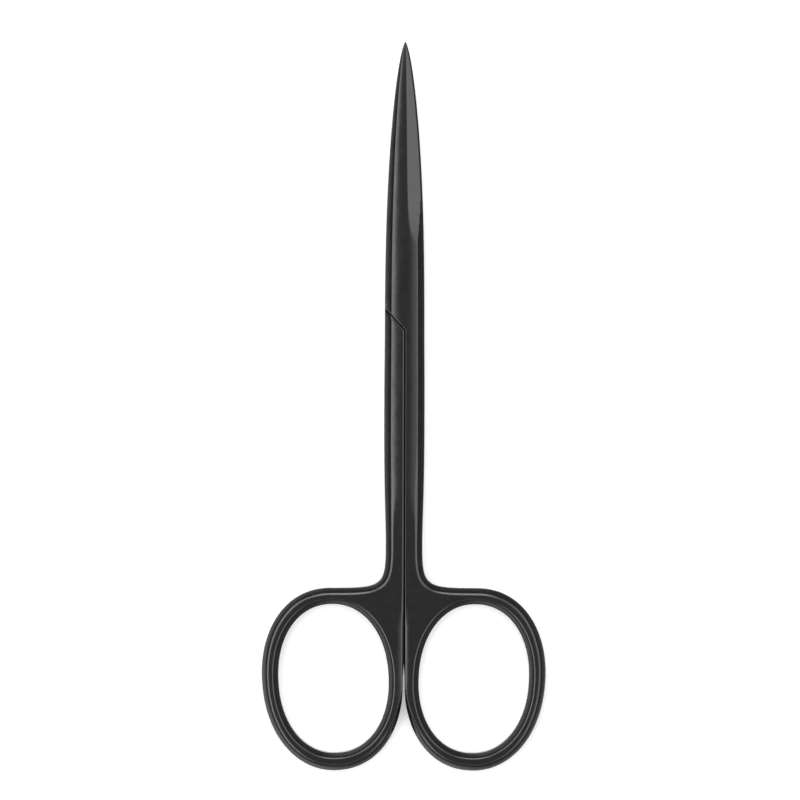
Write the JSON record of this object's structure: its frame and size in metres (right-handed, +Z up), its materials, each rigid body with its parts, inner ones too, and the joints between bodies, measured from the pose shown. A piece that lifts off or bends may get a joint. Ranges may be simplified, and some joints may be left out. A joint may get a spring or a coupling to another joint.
{
  "type": "iris scissors",
  "caption": "Slim straight iris scissors in black coated steel, with sharp narrow blades, a slanting lap joint, long shanks and two oval finger rings.",
  "frame": {"origin": "on the pivot axis, in the plane that the closed scissors rest on: the centre of the pivot screw's flat head", "axes": "+Y along the closed blades to the tips, +X across the rings to the front half's side, +Z up from the resting plane"},
  "size_m": [0.0448, 0.1149, 0.0032],
  "materials": {
    "black_steel": "satin black coating over steel",
    "screw_steel": "satin black coating over steel"
  },
  "bodies": {
    "rear_half": {"rear_half": "black_steel"},
    "front_half": {"front_half": "black_steel", "pivot_screw": "screw_steel"}
  },
  "joints": [
    {"name": "blade_pivot", "type": "hinge", "parent": "rear_half", "child": "front_half", "pos_m": [0, 0, 0], "axis": [0, 0, 1], "range_deg": [0, 110]}
  ]
}
